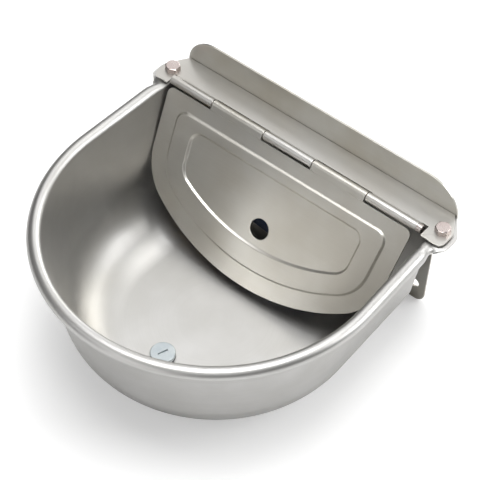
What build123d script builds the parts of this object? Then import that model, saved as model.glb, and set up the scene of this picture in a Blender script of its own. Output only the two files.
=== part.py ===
from build123d import *
from math import asin, cos, degrees, hypot, radians, sin, sqrt, tan
import os

# Livestock drinking bowl: a deep-drawn D-shaped steel bowl on a wall plate, with a hinged
# cover that hangs over a side-entry float valve, and a slotted drain plug in the floor.
#
# Frame: origin at the centre of the four wall holes, on the plate's rear face.
# +X to the user's right, +Y into the wall, +Z up. Millimetres.
# The bowl's own frame has its origin on the axis of the front arc, at the bead's centre.

# ---- driving dimensions -------------------------------------------------------------------
rim_height = 58.0            # bead centre above the centre of the wall holes
arc_reach = 113.9            # wall to the axis of the front arc
sheet = 1.2                  # bowl, cover plate and float cover

# bowl
bead_line_radius = 123.9     # centre line of the rolled rim along the front
bead_radius = 5.2
curl_flats = 12               # the roll is drawn with this many flats, each side of the sheet
curl_end_angle = -120.0      # where the rolled rim stops, short of the wall
wall_draft = 9.0             # degrees from upright
side_draft = 2.5             # degrees that each side closes towards the wall
bowl_depth = 98.0            # bead centre to the underside of the floor
bottom_radius = 45.0         # outside radius between wall and floor
rear_space = 9.4             # plate to the rear wall of the bowl, at the bead's level
rear_corner_radius = 10.0
bead_run_setback = 51.9      # wall to where the round bead ends, and fades into the ear
bead_fade_setback = 32.9

# rear flange and ears
flange_rise = 2.2            # top of the flange above the bead's centre
ear_reach = 8.5              # ear beyond the bead's centre line
ear_front_setback = 29.9     # wall to the ear's front corner
ear_side_setback = 16.9      # wall to its rear corner
ear_rear_taper = 11.4        # how much narrower the flange is at the wall
ear_corner_radius = 6.0
bolt_inset = 10.9            # bolt from the ear's edge
bolt_setback = 18.9
bolt_hole_radius = 3.3

# wall plate
plate_sheet = 1.5
plate_top_rise = 28.5        # above the bead's centre
plate_top_radius = 26.0
plate_shoulder_inset = 14.0  # below the flange, from the plate's upper edge
plate_foot_inset = 20.0
plate_corner_radius = 8.0
wall_hole_inset = 9.0        # from the plate's edge at its foot
wall_hole_z = 30.0
wall_hole_radius = 4.25

# cover plate and its hinge
spacer_thickness = 1.6       # plain washers between flange and cover plate
cover_margin = 3.2           # flange that shows beyond the cover plate
cover_front_setback = 31.9   # wall to the plate's front edge
cover_rear_gap = 0.2
hinge_setback = 26.9         # wall to the hinge axis
hinge_left_gap = 0.5         # mouth of the bowl to the hinge's left end
hinge_right_gap = 8.5        # and to its right end, with room for the pin's head
knuckle_radius = 3.5
middle_knuckle_x = -6.1      # centre of the plate's middle knuckle
middle_knuckle_length = 43.2
cover_knuckle_length = 46.6
knuckle_gap = 0.75
pin_radius = 2.25
pin_clearance = 0.05
pin_head_length = 4.0
pin_tail = 0.4
ear_notch = 1.4              # slot between the hinge's ends and the ears
edge_setback = 1.5           # plate edge behind the cover's knuckles
plate_curl_end = 314.0       # angle where each rolled knuckle ends, from its own sheet
cover_curl_end = 380.0

# float cover
cover_slope = 60.0           # degrees below level, at rest
cover_end_inset = 1.0        # each side edge of the cover in from the hinge's end
cover_side_draft = 4.9
cover_side_length = 50.0
cover_length = 109.5
cover_top_radius = 5.0
cover_shoulder_radius = 46.0
cover_bottom_radius = 168.0
cover_notch = 3.9            # top edge below the hinge axis, clear of the plate's knuckles
finger_hole_radius = 7.75
finger_hole_drop = 63.5
panel_height = 1.5           # pressed step
panel_corner = 8.0
panel_margin = 15.0
panel_top = 15.5
inner_margin = 17.0

# float valve
valve_setback = 36.9         # wall to the valve's axis
valve_drop = 40.0            # below the bead's centre
land_radius = 14.5
land_depth = 4.6             # how far the flat seat for the valve is pressed in
thread_radius = 10.48        # G1/2
thread_length = 22.0
relief_width = 1.0            # groove between the lock nut and the supply end
relief_depth = 0.6
wall_hole_clearance = 0.27
gasket_thickness = 1.5
gasket_radius = 12.0
valve_flange_radius = 12.0
valve_flange_length = 3.0
valve_barrel_radius = 9.0
valve_barrel_length = 20.0
inlet_bore_radius = 6.0
seat_length = 3.0
seat_port_radius = 2.0
seat_lip_radius = 3.0
seat_lip_length = 1.5
plunger_radius = 5.0
plunger_clearance = 0.1
plunger_length = 8.5
stem_radius = 2.6
seal_radius = 4.2
seal_thickness = 1.5
outlet_radius = 2.4
fork_length = 16.0
fork_inner = 3.6
fork_wall = 2.4
nut_width = 24.0
nut_thickness = 6.0

# float and arm
pivot_drop = 8.0             # pivot below the valve's axis, and the lever's short arm
arm_droop = 10.0             # degrees below level at rest
arm_travel = 15.0            # degrees from there until the valve is shut
arm_radius = 2.5
hub_radius = 4.4
hub_half_width = 3.2
arm_pin_radius = 1.5
arm_pin_clearance = 0.05
nose_radius = 1.5
lever_width = 1.6
float_start = 25.0
float_length = 80.0
float_radius = 13.2
float_end_chamfer = 4.0
float_nut_width = 8.0
float_nut_thickness = 4.0
arm_overrun = 1.5

# drain
drain_x = -7.0
drain_edge_gap = 6.2         # flat floor between the plug's head and the bottom radius
drain_head_radius = 9.25
drain_head_thickness = 3.0
drain_slot_width = 1.6
drain_slot_depth = 1.5
drain_thread_radius = 5.0
drain_clearance = 0.05
drain_gasket_thickness = 1.2
drain_nut_width = 22.0
drain_nut_thickness = 6.5

# M6 fasteners of the cover plate
m6_radius = 3.0
m6_width = 10.0
m6_head = 4.0
m6_nut = 5.0
m6_washer_radius = 6.0
m6_clearance = 0.05
bolt_overrun = 1.5

# ---- what follows from them ---------------------------------------------------------------
flange_underside = flange_rise - sheet
cover_underside = flange_rise + spacer_thickness
cover_top = cover_underside + sheet
plate_front = arc_reach - plate_sheet
rear_wall = plate_front - rear_space
bead_run_end = arc_reach - bead_run_setback
bead_fade_end = arc_reach - bead_fade_setback
ear_front = arc_reach - ear_front_setback
ear_side_end = arc_reach - ear_side_setback
bolt_y = arc_reach - bolt_setback
cover_front = arc_reach - cover_front_setback
hinge_y = arc_reach - hinge_setback
valve_y = arc_reach - valve_setback
draft_cos = cos(radians(wall_draft))
draft_sin = sin(radians(wall_draft))
draft_tan = tan(radians(wall_draft))
floor_underside = -bowl_depth
floor_top = floor_underside + sheet
rim_wall_radius = bead_line_radius - bead_radius + sheet / draft_cos
foot_z = floor_underside + bottom_radius
foot_r = rim_wall_radius + foot_z * draft_tan - bottom_radius / draft_cos
standing_level = floor_underside - drain_nut_thickness
hinge_z = cover_top
side_sin = sin(radians(side_draft))
side_cos = cos(radians(side_draft))
mouth_half_width = (rim_wall_radius - hinge_y * side_sin) / side_cos - sheet / draft_cos
hinge_left = hinge_left_gap - mouth_half_width
hinge_right = mouth_half_width - hinge_right_gap
hinge_centre_x = (hinge_left + hinge_right) / 2
cover_half_width = (hinge_right - hinge_left) / 2 - cover_end_inset
knuckle_bore = knuckle_radius - sheet
ear_half_width = bead_line_radius + ear_reach
ear_rear_half_width = ear_half_width - ear_rear_taper
plate_shoulder_half_width = ear_rear_half_width - plate_shoulder_inset
plate_foot_half_width = ear_rear_half_width - plate_foot_inset
wall_hole_x = plate_foot_half_width - wall_hole_inset
bolt_x = ear_half_width - bolt_inset
drain_reach = foot_r - drain_edge_gap - drain_head_radius
drain_y = -sqrt(drain_reach ** 2 - drain_x ** 2)
bowl_place = Location((0, -arc_reach, rim_height))


def ring_x(outer, inner, start, length, y, z):
    """A tube along +X that starts at x = start."""
    plane = Plane(origin=(start, y, z), x_dir=(0, 1, 0), z_dir=(1, 0, 0))
    section = Circle(outer) - Circle(inner) if inner else Circle(outer)
    return extrude(plane * section, length)


def hexagon_x(width, bore, start, length, y, z):
    """A hexagonal nut along +X, given across its flats."""
    plane = Plane(origin=(start, y, z), x_dir=(0, 1, 0), z_dir=(1, 0, 0))
    nut = extrude(plane * RegularPolygon(width / 2, 6, major_radius=False), length)
    return nut - ring_x(bore, 0, start - 1, length + 2, y, z)


# ---- the bowl -----------------------------------------------------------------------------
def bowl_section(inset, top):
    """Half section of the bowl's form, from its axis outwards: wall, bottom radius, floor."""
    radius = bottom_radius - inset
    floor = foot_z - radius
    toe = (foot_r + radius * draft_cos, foot_z - radius * draft_sin)
    middle = radians(-(90 + wall_draft) / 2)
    bend = (foot_r + radius * cos(middle), foot_z + radius * sin(middle))
    brim = (toe[0] + (top - toe[1]) * draft_tan, top)
    outline = Polyline((foot_r, floor), (0, floor), (0, top), brim, toe)
    outline += ThreePointArc(toe, bend, (foot_r, floor))
    return Plane.XZ * make_face(outline)


def along_rim(section, run_end):
    """Carries a section at +X round the front arc and along both sides."""
    end_face = Rot(0, 0, side_draft) * section
    start_face = Rot(0, 0, 180 - side_draft) * section
    front = revolve(start_face, Axis.Z, 180 + 2 * side_draft)
    heading = (-side_sin, side_cos, 0)
    side = extrude(end_face, run_end / side_cos, dir=heading)
    return front + side + mirror(side, Plane.YZ)


def bowl_form(inset, top):
    """The bowl as one solid, set in by a thickness from its outside."""
    trough = along_rim(bowl_section(inset, top), arc_reach)
    rear_y = rear_wall - inset / draft_cos
    reach = 2 * bead_line_radius
    bottom = floor_underside - 1
    side_view = Polyline(
        (-reach, bottom), (-reach, top + 1),
        (rear_y + (top + 1) * draft_tan, top + 1), (rear_y + bottom * draft_tan, bottom),
        close=True,
    )
    form = trough & extrude(Plane.YZ * make_face(side_view), reach, both=True)
    rear_face = form.faces().sort_by(Axis.Y)[-1]
    edges = [edge for edge in rear_face.edges() if edge.center().Z < top - 0.01]
    return fillet(edges, rear_corner_radius - inset)


def rim_curl():
    """Rolled rim: the sheet turns outwards and under, and stops short of the wall."""
    turn = (180 - curl_end_angle) / curl_flats
    angles = [radians(180 - turn * i) for i in range(curl_flats + 1)]

    def roll(radius):
        return [(bead_line_radius + radius * cos(a), radius * sin(a)) for a in angles]

    section = Polyline(*roll(bead_radius), *reversed(roll(bead_radius - sheet)), close=True)
    return along_rim(Plane.XZ * make_face(section), bead_run_end)


def rim_x(y):
    """Centre line of the rolled rim along the bowl's straight side."""
    return (bead_line_radius - y * side_sin) / side_cos


def bead_fade():
    """The bead flattens out into the right ear."""
    def section_plane(run, rise):
        y = bead_line_radius * side_sin + run
        x = rim_x(y)
        return Plane(origin=(x, y, rise), x_dir=(side_cos, side_sin, 0),
                     z_dir=(-side_sin, side_cos, 0))

    flat = sheet / 2
    start = section_plane(bead_run_end, 0) * Circle(bead_radius)
    end = section_plane(bead_fade_end, flange_underside + flat) * Ellipse(bead_radius, flat)
    return loft([start, end])


def half_outline(points, rounded, radius):
    """A face that is symmetrical about x = 0, from its right half, with rounded corners."""
    mirrored = [(-x, y) for x, y in reversed(points)]
    face = make_face(Polyline(*points, *mirrored, close=True))
    corners = [points[i] for i in rounded]
    picked = [
        vertex for vertex in face.vertices()
        if any(hypot(abs(vertex.X) - x, vertex.Y - y) < 0.01 for x, y in corners)
    ]
    return fillet(picked, radius)


def ear_outline(margin):
    """Plan of the rear flange with its two ears, set in by a margin."""
    neck_y = bead_fade_end - bead_radius
    points = [
        (rim_wall_radius - 1, bead_run_end),
        (rim_x(neck_y), neck_y),
        (ear_half_width - margin, ear_front),
        (ear_half_width - margin, ear_side_end),
        (ear_rear_half_width - margin / 2, plate_front),
    ]
    return half_outline(points, (2, 3), ear_corner_radius)


def valve_land(radius, face_x):
    """Cylinder that presses the flat seat for the valve into the left wall."""
    return ring_x(radius, 0, face_x - 2 * radius, 2 * radius, valve_y, -valve_drop)


def side_wall_x(y, z):
    """Outside of the bowl's straight side at a height."""
    return (rim_wall_radius - y * side_sin) / side_cos + z * draft_tan


land_x = -(side_wall_x(valve_y, -valve_drop + land_radius) - land_depth)


def bowl_shell():
    outside = bowl_form(0, flange_rise) - valve_land(land_radius, land_x)
    hollow = bowl_form(sheet, flange_rise + 2) - valve_land(land_radius + sheet, land_x + sheet)
    shell = outside - hollow
    lip = Pos(0, bead_run_end, 0) * Box(
        4 * bead_line_radius, 4 * bead_line_radius, 2 * bead_radius,
        align=(Align.CENTER, Align.MAX, Align.MIN))
    flange = Pos(0, 0, flange_underside) * extrude(ear_outline(0), sheet)
    fade = bead_fade()
    shell = shell - lip + (flange + fade + mirror(fade, Plane.YZ) - hollow) + rim_curl()
    for side in (-1, 1):
        hole = Pos(side * bolt_x, bolt_y, flange_rise) * Cylinder(bolt_hole_radius, 4 * sheet)
        shell -= hole
    shell -= ring_x(thread_radius + wall_hole_clearance, 0, land_x - thread_length,
                    2 * thread_length, valve_y, -valve_drop)
    drain = Cylinder(drain_thread_radius + wall_hole_clearance, 4 * sheet)
    return shell - Pos(drain_x, drain_y, floor_top) * drain


# ---- wall plate ---------------------------------------------------------------------------
def back_plate():
    points = [
        (ear_rear_half_width, plate_top_rise),
        (ear_rear_half_width, flange_underside),
        (plate_shoulder_half_width, flange_underside),
        (plate_foot_half_width, standing_level),
    ]
    mirrored = [(-x, z) for x, z in reversed(points)]
    face = make_face(Polyline(*points, *mirrored, close=True))
    top = [v for v in face.vertices() if v.Y > plate_top_rise - 1]
    face = fillet(top, plate_top_radius)
    foot = [v for v in face.vertices() if v.Y < standing_level + 1]
    face = fillet(foot, plate_corner_radius)
    front = Plane(origin=(0, plate_front, 0), x_dir=(-1, 0, 0), z_dir=(0, 1, 0))
    plate = extrude(front * face, plate_sheet)
    for x in (-wall_hole_x, wall_hole_x):
        for z in (-wall_hole_z, wall_hole_z):
            hole = Rot(90, 0, 0) * Cylinder(wall_hole_radius, 4 * plate_sheet)
            plate -= Pos(x, plate_front, z - rim_height) * hole
    return plate


# ---- hinge --------------------------------------------------------------------------------
def knuckle_section(level, tail, curl_end):
    """A sheet whose outer face runs at a level above the hinge axis, rolled round the pin.

    Local x runs from the axis along the sheet, local y to the sheet's outer face.
    """
    outer_start = degrees(asin(level / knuckle_radius))
    inner_start = degrees(asin((level - sheet) / knuckle_bore))

    def point(radius, angle):
        return (radius * cos(radians(angle)), radius * sin(radians(angle)))

    outside = ThreePointArc(
        point(knuckle_radius, outer_start),
        point(knuckle_radius, (outer_start + curl_end) / 2),
        point(knuckle_radius, curl_end))
    inside = ThreePointArc(
        point(knuckle_bore, curl_end),
        point(knuckle_bore, (curl_end + inner_start) / 2),
        point(knuckle_bore, inner_start))
    strip = Polyline(inside @ 1, (tail, level - sheet), (tail, level), outside @ 0)
    return make_face(outside + Line(outside @ 1, inside @ 0) + inside + strip)


# The knuckles take turns along the pin, as (start, end): plate, cover, plate, cover, plate.
middle_left = middle_knuckle_x - middle_knuckle_length / 2
middle_right = middle_knuckle_x + middle_knuckle_length / 2
cover_knuckles = [
    (middle_left - knuckle_gap - cover_knuckle_length, middle_left - knuckle_gap),
    (middle_right + knuckle_gap, middle_right + knuckle_gap + cover_knuckle_length),
]
plate_knuckles = [
    (hinge_left, cover_knuckles[0][0] - knuckle_gap),
    (middle_left, middle_right),
    (cover_knuckles[1][1] + knuckle_gap, hinge_right),
]


def cover_plate():
    """Flat plate over the rear of the bowl, bolted to the ears, with three rolled knuckles."""
    rear = plate_front - cover_rear_gap
    plan = ear_outline(cover_margin)
    keep = Pos(0, cover_front, 0) * Rectangle(
        4 * bead_line_radius, rear - cover_front, align=(Align.CENTER, Align.MIN))
    slot_left = hinge_left - ear_notch
    slot_right = hinge_right + pin_head_length + ear_notch
    slot_rear = hinge_y + knuckle_radius + edge_setback
    slot = Pos(slot_left, cover_front - 1, 0) * Rectangle(
        slot_right - slot_left, slot_rear - cover_front + 1, align=(Align.MIN, Align.MIN))
    plan = (plan & keep) - slot
    plate = Pos(0, 0, cover_underside) * extrude(plan, sheet)
    section = knuckle_section(0, slot_rear - hinge_y + sheet, plate_curl_end)
    for start, end in plate_knuckles:
        plane = Plane(origin=(start, hinge_y, hinge_z), x_dir=(0, 1, 0), z_dir=(1, 0, 0))
        plate += extrude(plane * section, end - start)
    for side in (-1, 1):
        plate -= Pos(side * bolt_x, bolt_y, cover_top) * Cylinder(bolt_hole_radius, 4 * sheet)
    return plate


def hinge_pin():
    length = hinge_right - hinge_left + 2 * pin_tail
    pin = ring_x(pin_radius, 0, hinge_left - pin_tail, length, hinge_y, hinge_z)
    head = ring_x(knuckle_radius, 0, hinge_right + pin_tail / 2, pin_head_length - pin_tail,
                  hinge_y, hinge_z)
    return pin + head


# ---- float cover --------------------------------------------------------------------------
def cover_outline(margin, top):
    """Outline of the hanging cover in its own plane, x across and y down from the hinge."""
    half = cover_half_width - margin
    draft = radians(cover_side_draft)
    side_end = (half - (cover_side_length - top) * tan(draft), cover_side_length)
    bottom = cover_length - margin
    radius = cover_shoulder_radius - margin
    belly = cover_bottom_radius - margin
    shoulder_x = side_end[0] - radius * cos(draft)
    shoulder_y = side_end[1] + radius * sin(draft) * -1
    belly_y = bottom - belly
    reach = hypot(shoulder_x, shoulder_y - belly_y)
    blend_x = shoulder_x / reach
    blend_y = (shoulder_y - belly_y) / reach
    touch = (shoulder_x + radius * blend_x, shoulder_y + radius * blend_y)
    return half, side_end, touch, bottom


def cover_face(margin, top, corner):
    half, side_end, touch, bottom = cover_outline(margin, top)
    right = Polyline((0, top), (half, top), side_end)
    shoulder = TangentArc(side_end, touch, tangent=(
        -sin(radians(cover_side_draft)), cos(radians(cover_side_draft))))
    belly = ThreePointArc(touch, (0, bottom), (-touch[0], touch[1]))
    left_shoulder = mirror(shoulder, Plane.YZ)
    left = mirror(right, Plane.YZ)
    face = make_face(right + shoulder + belly + left_shoulder + left)
    corners = [v for v in face.vertices() if v.Y < top + 0.01 and abs(v.X) > 1]
    return fillet(corners, corner)


def cover_frame():
    """Plane of the cover's back surface: local x across, local y down the slope."""
    slope = radians(cover_slope)
    down = Vector(0, -cos(slope), -sin(slope))
    front = Vector(0, -sin(slope), cos(slope))
    origin = Vector(hinge_centre_x, hinge_y, hinge_z) + front * knuckle_bore
    return Plane(origin=origin, x_dir=(-1, 0, 0), z_dir=front), down, front


def float_cover():
    plane, down, front = cover_frame()
    inner_top = panel_top + inner_margin / 2
    inner_edge = panel_margin + inner_margin

    def block(margin, top, corner, height):
        return extrude(cover_face(margin, top, corner), height)

    step = panel_height + sheet
    raised = block(panel_margin, panel_top, panel_corner, step)
    under = block(panel_margin + sheet, panel_top + sheet, panel_corner - sheet, panel_height)
    island = block(inner_edge - sheet, inner_top - sheet, panel_corner + sheet, panel_height)
    sunk = block(inner_edge, inner_top, panel_corner, step)
    body = block(0, cover_notch, cover_top_radius, sheet) + raised
    body = body - (under - island) - Pos(0, 0, sheet) * sunk
    body -= Pos(0, finger_hole_drop, 0) * Cylinder(finger_hole_radius, 8 * sheet)
    body = plane * body
    section = knuckle_section(knuckle_radius, cover_notch + sheet, cover_curl_end)
    for start, end in cover_knuckles:
        section_plane = Plane(origin=(end, hinge_y, hinge_z), x_dir=down, z_dir=(-1, 0, 0))
        body += extrude(section_plane * section, end - start)
    return body


# ---- fasteners of the cover plate ---------------------------------------------------------
def at_both_ears(shape):
    return Compound(children=[Pos(side * bolt_x, bolt_y, 0) * shape for side in (-1, 1)])


def cover_bolts():
    """Two M6 hexagon bolts, heads up."""
    length = sheet + spacer_thickness + sheet + m6_nut + bolt_overrun
    shank = Pos(0, 0, cover_top - length) * Cylinder(
        m6_radius, length, align=(Align.CENTER, Align.CENTER, Align.MIN))
    head = Pos(0, 0, cover_top) * extrude(
        RegularPolygon(m6_width / 2, 6, major_radius=False), m6_head)
    crown = Pos(0, 0, cover_top) * Cone(
        m6_width, m6_width / 2 - 0.5, m6_head + 0.01, align=(Align.CENTER, Align.CENTER, Align.MIN))
    return at_both_ears(shank + (head & crown))


def cover_washers():
    """Plain washers that hold the cover plate off the ears."""
    ring = Circle(m6_washer_radius) - Circle(m6_radius + m6_clearance)
    return at_both_ears(Pos(0, 0, flange_rise) * extrude(ring, spacer_thickness))


def cover_nuts():
    """Two M6 nuts, each with a flat towards the bowl's side."""
    section = RegularPolygon(m6_width / 2, 6, major_radius=False, rotation=30)
    section -= Circle(m6_radius + m6_clearance)
    return at_both_ears(Pos(0, 0, flange_underside - m6_nut) * extrude(section, m6_nut))


# ---- float valve --------------------------------------------------------------------------
gasket_end = land_x + sheet + gasket_thickness
barrel_start = gasket_end + valve_flange_length
barrel_end = barrel_start + valve_barrel_length
shank_start = land_x - thread_length
seat_start = barrel_start + 1.0
nozzle_end = seat_start + seat_length + seat_lip_length
pivot_x = barrel_end + fork_length - hub_radius - 1.0
pivot_z = -valve_drop - pivot_drop
half_travel = radians(arm_travel / 2)
plunger_travel = pivot_drop * radians(arm_travel)
seal_start = nozzle_end + plunger_travel + plunger_clearance
nose_x = pivot_x + pivot_drop * sin(half_travel)
nose_z = pivot_z + pivot_drop * cos(half_travel)


def valve_tube(outer, inner, start, length):
    return ring_x(outer, inner, start, length, valve_y, -valve_drop)


def valve_body():
    """Turned body: threaded inlet, flange, barrel with its bore, and a fork for the arm."""
    inlet = valve_tube(thread_radius, 0, shank_start, gasket_end - shank_start)
    flange = valve_tube(valve_flange_radius, 0, gasket_end, valve_flange_length)
    barrel = valve_tube(valve_barrel_radius, 0, barrel_start, valve_barrel_length)
    relief = valve_tube(thread_radius + 1, thread_radius - relief_depth,
                        land_x - gasket_thickness - nut_thickness - relief_width, relief_width)
    body = inlet + flange + barrel - relief
    for side in (-1, 1):
        cheek_y = valve_y + side * (fork_inner + fork_wall / 2)
        face_plane = Plane(origin=(0, cheek_y, 0), x_dir=(1, 0, 0), z_dir=(0, -1, 0))
        root = barrel_end - fork_wall
        outline = Polyline(
            (root, -valve_drop + valve_barrel_radius / 2),
            (pivot_x, nose_z + nose_radius),
            (pivot_x, pivot_z),
            (root, -valve_drop - valve_barrel_radius / 2),
            close=True,
        )
        cheek = make_face(outline) + Pos(pivot_x, pivot_z) * Circle(hub_radius)
        body += extrude(face_plane * cheek, fork_wall / 2, both=True)
    main_bore = valve_tube(plunger_radius + plunger_clearance, 0, seat_start, 2 * fork_length)
    inlet_bore = valve_tube(inlet_bore_radius, 0, shank_start - 1, seat_start + seat_length
                            - shank_start + 1)
    slot = Pos(barrel_end, valve_y, -valve_drop) * Box(
        3 * fork_length, 2 * fork_inner, 4 * valve_barrel_radius,
        align=(Align.MIN, Align.CENTER, Align.CENTER))
    outlet = Pos(nozzle_end + outlet_radius, valve_y, -valve_drop) * Cylinder(
        outlet_radius, 2 * valve_barrel_radius, align=(Align.CENTER, Align.CENTER, Align.MAX))
    pin_hole = Pos(pivot_x, valve_y, pivot_z) * Rot(90, 0, 0) * Cylinder(
        arm_pin_radius + arm_pin_clearance, 4 * valve_barrel_radius)
    return body - main_bore - inlet_bore - slot - outlet - pin_hole


def valve_seat():
    """Moulded nozzle that the plunger's seal closes on."""
    disc = valve_tube(inlet_bore_radius - pin_clearance, 0, seat_start, seat_length)
    lip = valve_tube(seat_lip_radius, 0, seat_start + seat_length, seat_lip_length)
    return disc + lip - valve_tube(seat_port_radius, 0, seat_start - 1, 3 * seat_length)


def plunger_seal():
    return valve_tube(seal_radius, 0, seal_start, seal_thickness)


def valve_plunger():
    start = seal_start + seal_thickness
    stem_end = nose_x - nose_radius - plunger_clearance
    piston = valve_tube(plunger_radius, 0, start, plunger_length)
    stem = valve_tube(stem_radius, 0, start + plunger_length, stem_end - start - plunger_length)
    return piston + stem


def inlet_gasket():
    return valve_tube(gasket_radius, thread_radius + wall_hole_clearance, land_x + sheet,
                      gasket_thickness)


def inlet_washer():
    return valve_tube(gasket_radius + 1, thread_radius + wall_hole_clearance,
                      land_x - gasket_thickness, gasket_thickness)


def inlet_nut():
    return hexagon_x(nut_width, thread_radius + pin_clearance,
                     land_x - gasket_thickness - nut_thickness, nut_thickness,
                     valve_y, -valve_drop)


def arm_pivot_pin():
    half = fork_inner + fork_wall + 0.5
    return Pos(pivot_x, valve_y, pivot_z) * Rot(90, 0, 0) * Cylinder(arm_pin_radius, 2 * half)


# ---- float and arm ------------------------------------------------------------------------
arm_place = Pos(pivot_x, valve_y, pivot_z) * Rot(0, arm_droop, 0)


def arm_tube(outer, inner, start, length):
    return arm_place * ring_x(outer, inner, start, length, 0, 0)


rod_end = float_start + float_length + float_nut_thickness + arm_overrun


def float_arm():
    """Hub on the pivot pin, the short lever that works the plunger, and the rod."""
    hub = Rot(90, 0, 0) * Cylinder(hub_radius, 2 * hub_half_width)
    lever = Pos(0, 0, pivot_drop / 2) * Box(lever_width, 2 * hub_half_width, pivot_drop)
    nose = Pos(0, 0, pivot_drop) * Rot(90, 0, 0) * Cylinder(nose_radius, 2 * hub_half_width)
    crank = Pos(pivot_x, valve_y, pivot_z) * Rot(0, arm_travel / 2, 0) * (lever + nose)
    arm = arm_place * hub + crank + arm_tube(arm_radius, 0, 0, rod_end)
    hole = Pos(pivot_x, valve_y, pivot_z) * Rot(90, 0, 0) * Cylinder(
        arm_pin_radius + arm_pin_clearance, 4 * hub_half_width)
    return arm - hole


def float_body():
    """Closed moulded float with bevelled ends, threaded on the rod."""
    body = ring_x(float_radius, 0, float_start, float_length, 0, 0)
    body = chamfer(body.edges().filter_by(GeomType.CIRCLE), float_end_chamfer)
    bore = ring_x(arm_radius + arm_pin_clearance, 0, float_start - 1, float_length + 2, 0, 0)
    return arm_place * (body - bore)


def float_nuts():
    """One nut on the rod at each end of the float."""
    bore = arm_radius + arm_pin_clearance
    starts = (float_start - float_nut_thickness, float_start + float_length)
    nuts = [hexagon_x(float_nut_width, bore, start, float_nut_thickness, 0, 0) for start in starts]
    return arm_place * Compound(children=nuts)


# ---- drain --------------------------------------------------------------------------------
drain_seat = floor_top + drain_gasket_thickness


def drain_plug():
    """Slotted disc head on a short thread."""
    head = Pos(0, 0, drain_seat) * Cylinder(
        drain_head_radius, drain_head_thickness, align=(Align.CENTER, Align.CENTER, Align.MIN))
    rim = head.edges().filter_by(GeomType.CIRCLE).sort_by(Axis.Z)[-1]
    head = chamfer(rim, drain_slot_depth / 2)
    length = drain_seat - standing_level - drain_slot_depth
    shank = Pos(0, 0, drain_seat) * Cylinder(
        drain_thread_radius, length, align=(Align.CENTER, Align.CENTER, Align.MAX))
    slot = Pos(0, 0, drain_seat + drain_head_thickness) * Rot(0, 0, 25) * Box(
        3 * drain_head_radius, drain_slot_width, 2 * drain_slot_depth)
    return Pos(drain_x, drain_y, 0) * (head + shank - slot)


def drain_gasket():
    ring = Circle(drain_head_radius) - Circle(drain_thread_radius + drain_clearance)
    return Pos(drain_x, drain_y, floor_top) * extrude(ring, drain_gasket_thickness)


def drain_nut():
    """Hexagonal boss under the floor, welded on, that takes the plug's thread."""
    section = RegularPolygon(drain_nut_width / 2, 6, major_radius=False)
    section -= Circle(drain_thread_radius + drain_clearance)
    return Pos(drain_x, drain_y, standing_level) * extrude(section, drain_nut_thickness)


NODES = {
    "bowl_shell": bowl_shell,
    "back_plate": back_plate,
    "cover_plate": cover_plate,
    "cover_bolts": cover_bolts,
    "cover_washers": cover_washers,
    "cover_nuts": cover_nuts,
    "hinge_pin": hinge_pin,
    "float_cover": float_cover,
    "valve_body": valve_body,
    "valve_seat": valve_seat,
    "valve_plunger": valve_plunger,
    "plunger_seal": plunger_seal,
    "inlet_gasket": inlet_gasket,
    "inlet_washer": inlet_washer,
    "inlet_nut": inlet_nut,
    "arm_pivot_pin": arm_pivot_pin,
    "float_arm": float_arm,
    "float": float_body,
    "float_nuts": float_nuts,
    "drain_plug": drain_plug,
    "drain_gasket": drain_gasket,
    "drain_nut": drain_nut,
}
for name, make in NODES.items():
    export_step(bowl_place * make(), "parts/" + name + ".step")
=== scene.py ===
from math import asin, atan2, cos, degrees, pi, radians, sin, sqrt, tan

import bmesh
import bpy
from mathutils import Matrix, Vector
from mathutils.kdtree import KDTree


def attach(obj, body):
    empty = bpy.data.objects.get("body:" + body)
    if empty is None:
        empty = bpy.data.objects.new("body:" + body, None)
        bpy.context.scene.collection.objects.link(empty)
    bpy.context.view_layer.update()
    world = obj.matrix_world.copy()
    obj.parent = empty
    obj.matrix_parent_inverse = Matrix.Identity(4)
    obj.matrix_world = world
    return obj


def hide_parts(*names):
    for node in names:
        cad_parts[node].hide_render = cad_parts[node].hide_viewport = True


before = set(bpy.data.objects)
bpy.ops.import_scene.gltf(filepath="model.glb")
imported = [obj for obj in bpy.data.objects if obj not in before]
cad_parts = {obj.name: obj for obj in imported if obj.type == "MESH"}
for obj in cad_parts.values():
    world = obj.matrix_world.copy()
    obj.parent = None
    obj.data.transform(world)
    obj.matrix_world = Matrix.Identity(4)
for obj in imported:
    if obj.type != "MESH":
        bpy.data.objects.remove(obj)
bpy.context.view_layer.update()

bl_info = {
    "name": "Livestock drinking bowl",
    "version": (1, 0, 0),
    "blender": (4, 5, 0),
    "location": "View3D > Sidebar > Drinking bowl",
    "description": "Dresses the drinking bowl with its rolled, pressed and brushed steel pieces",
    "category": "Object",
}

MM = 0.001


# ---- materials ----------------------------------------------------------------------------
def linear(colour):
    """A colour written as an sRGB hex value, as the linear values that a shader takes."""
    values = [int(colour[i:i + 2], 16) / 255 for i in (1, 3, 5)]
    return [v / 12.92 if v <= 0.04045 else ((v + 0.055) / 1.055) ** 2.4 for v in values] + [1.0]


def add_node(tree, kind, settings=None, links=None):
    """Adds a node, sets its properties and sockets, and links its inputs."""
    node = tree.nodes.new(kind)
    for name, value in (settings or {}).items():
        if isinstance(name, int) or name in node.inputs:
            node.inputs[name].default_value = value
        else:
            setattr(node, name, value)
    for name, source in (links or {}).items():
        tree.links.new(source, node.inputs[name])
    return node


def new_material(name):
    """A new material with an empty node tree, and that tree."""
    material = bpy.data.materials.new(name)
    material.use_nodes = True
    material.node_tree.nodes.clear()
    return material, material.node_tree


def object_place(tree):
    """The Object coordinates."""
    return add_node(tree, "ShaderNodeTexCoord").outputs["Object"]


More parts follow.
